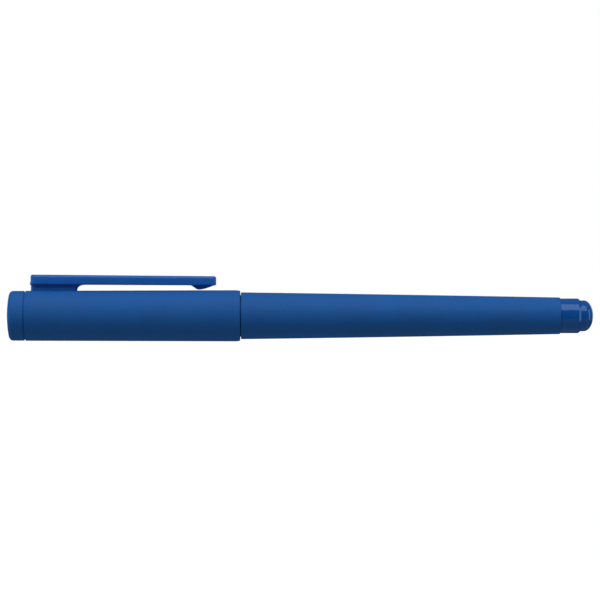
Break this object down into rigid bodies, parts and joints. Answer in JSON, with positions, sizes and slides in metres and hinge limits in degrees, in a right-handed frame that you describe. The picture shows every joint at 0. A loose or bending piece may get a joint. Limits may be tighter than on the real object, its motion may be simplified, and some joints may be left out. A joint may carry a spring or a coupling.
{
  "type": "rollerball pen",
  "caption": "Capped rollerball pen with a spring pocket clip, screw-in grip section and replaceable refill.",
  "frame": {"origin": "the writing point: the front of the ball, on the pen's axis", "axes": "+X runs back along the pen's axis to the tail, +Z points out of the cap on the clip's side, +Y completes the right-handed set"},
  "size_m": [0.14, 0.0122, 0.0159],
  "materials": {
    "soft_touch_lacquer": "satin blue soft-touch lacquer on aluminium",
    "clip_lacquer": "satin blue lacquer on spring steel",
    "gloss_blue": "polished blue moulding",
    "bright_trim": "bright plated",
    "brass": "turned brass",
    "spring_steel": "drawn spring wire and turned steel",
    "point_metal": "turned nickel silver",
    "ball_carbide": "polished tungsten carbide",
    "black_rubber": "smooth moulded rubber",
    "white_plastic": "fine satin moulding",
    "black_plastic": "fine satin moulding",
    "refill_plastic": "extruded translucent tube",
    "ink_fibre": "ink-soaked bundled fibre"
  },
  "bodies": {
    "barrel": {"barrel": "soft_touch_lacquer", "thread_insert": "brass", "tail_plug": "gloss_blue", "refill_spring": "spring_steel"},
    "refill": {"refill_tube": "refill_plastic", "refill_reservoir": "ink_fibre", "refill_feed_rod": "ink_fibre", "refill_tip_holder": "black_plastic", "refill_point": "point_metal", "refill_end_plug": "black_plastic"},
    "ball": {"refill_ball": "ball_carbide"},
    "section": {"grip_section": "gloss_blue", "section_ring": "bright_trim", "cap_seal_ring": "black_rubber", "nose_cone": "bright_trim"},
    "cap": {"cap_shell": "soft_touch_lacquer", "cap_crown": "soft_touch_lacquer", "clip_carrier": "black_plastic", "clip_pin": "spring_steel", "crown_screw": "spring_steel", "inner_cap": "white_plastic"},
    "clip": {"pocket_clip": "clip_lacquer"}
  },
  "joints": [
    {"name": "refill_advance", "type": "slide", "parent": "barrel", "child": "refill", "axis": [-1, 0, 0], "range_m": [0, 0.006], "deforming": ["refill_spring"]},
    {"name": "section_turn", "type": "hinge", "parent": "refill", "child": "section", "pos_m": [0.036, 0, 0], "axis": [1, 0, 0], "range_deg": [-1800, 0]},
    {"name": "cap_pull", "type": "slide", "parent": "section", "child": "cap", "axis": [-1, 0, 0], "range_m": [0, 0.045]},
    {"name": "clip_flex", "type": "hinge", "parent": "cap", "child": "clip", "pos_m": [-0.0014, 0, 0.0086], "axis": [0, -1, 0], "range_deg": [0, 5], "stiffness_Nm_per_rad": 2, "deforming": ["pocket_clip"]},
    {"name": "ball_roll", "type": "hinge", "parent": "refill", "child": "ball", "pos_m": [0.00035, 0, 0], "axis": [0, 1, 0], "continuous": true}
  ],
  "couplings": [
    {"joint": "refill_advance", "follows": "section_turn", "m_per_rad": -0.00019099}
  ]
}
